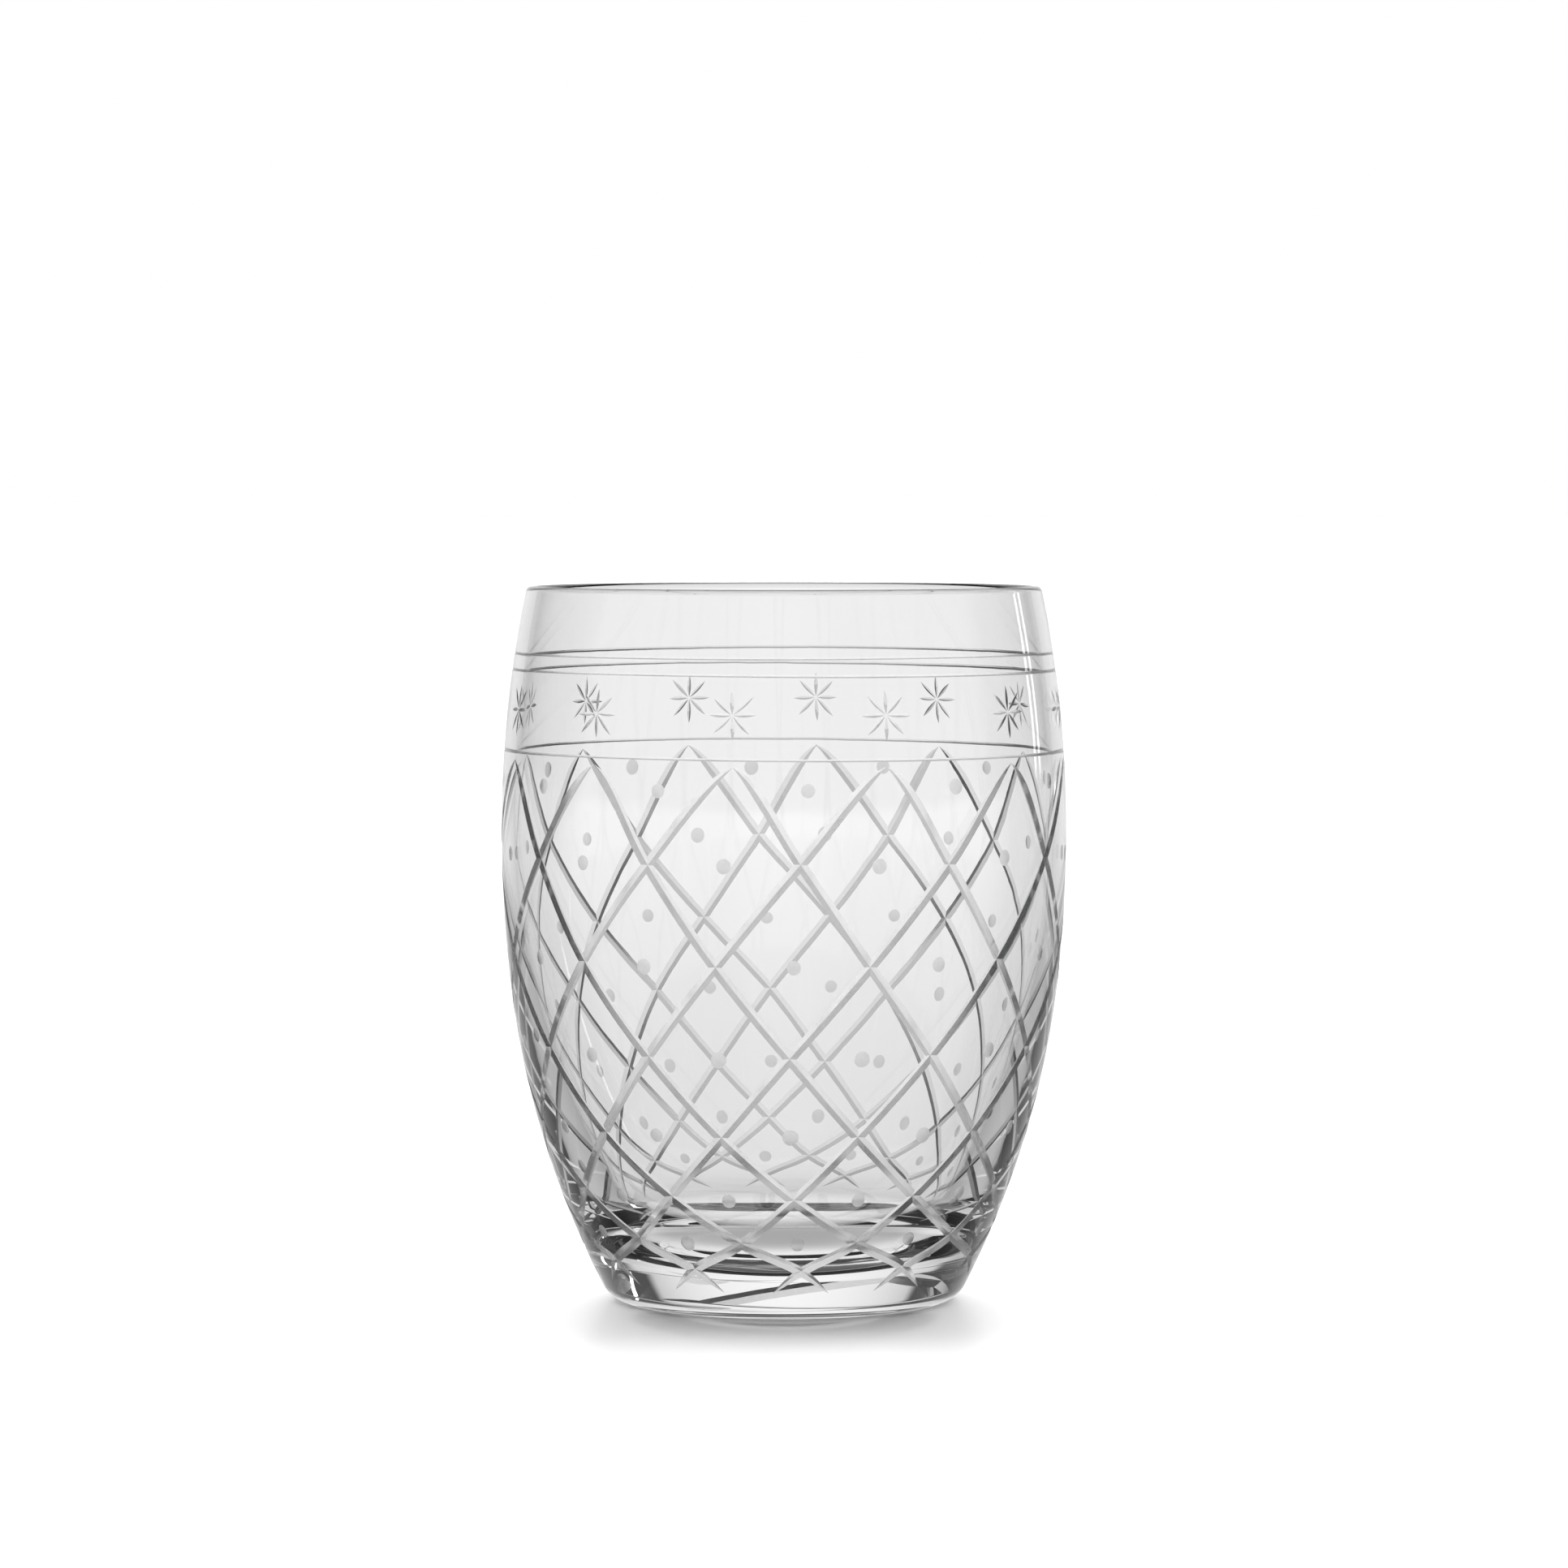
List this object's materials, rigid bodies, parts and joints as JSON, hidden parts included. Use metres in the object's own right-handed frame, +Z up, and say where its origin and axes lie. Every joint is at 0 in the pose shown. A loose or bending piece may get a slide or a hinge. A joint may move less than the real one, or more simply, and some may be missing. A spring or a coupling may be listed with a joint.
{
  "type": "whiskey tumbler",
  "caption": "Barrel-shaped crystal whiskey tumbler with a thin rounded lip, a heavy base, fine ring cuts, cut stars, and a diamond lattice of mitre cuts with a ground dot in each diamond.",
  "frame": {"origin": "centre of the base plane, on the glass's axis", "axes": "+Z up the glass's axis; the front, with a camera-side view of the cuts, is towards -Y"},
  "size_m": [0.079, 0.079, 0.1],
  "materials": {
    "crystal": "polished clear crystal with finely ground cuts"
  },
  "bodies": {
    "root": {"glass_body": "crystal"}
  },
  "joints": []
}
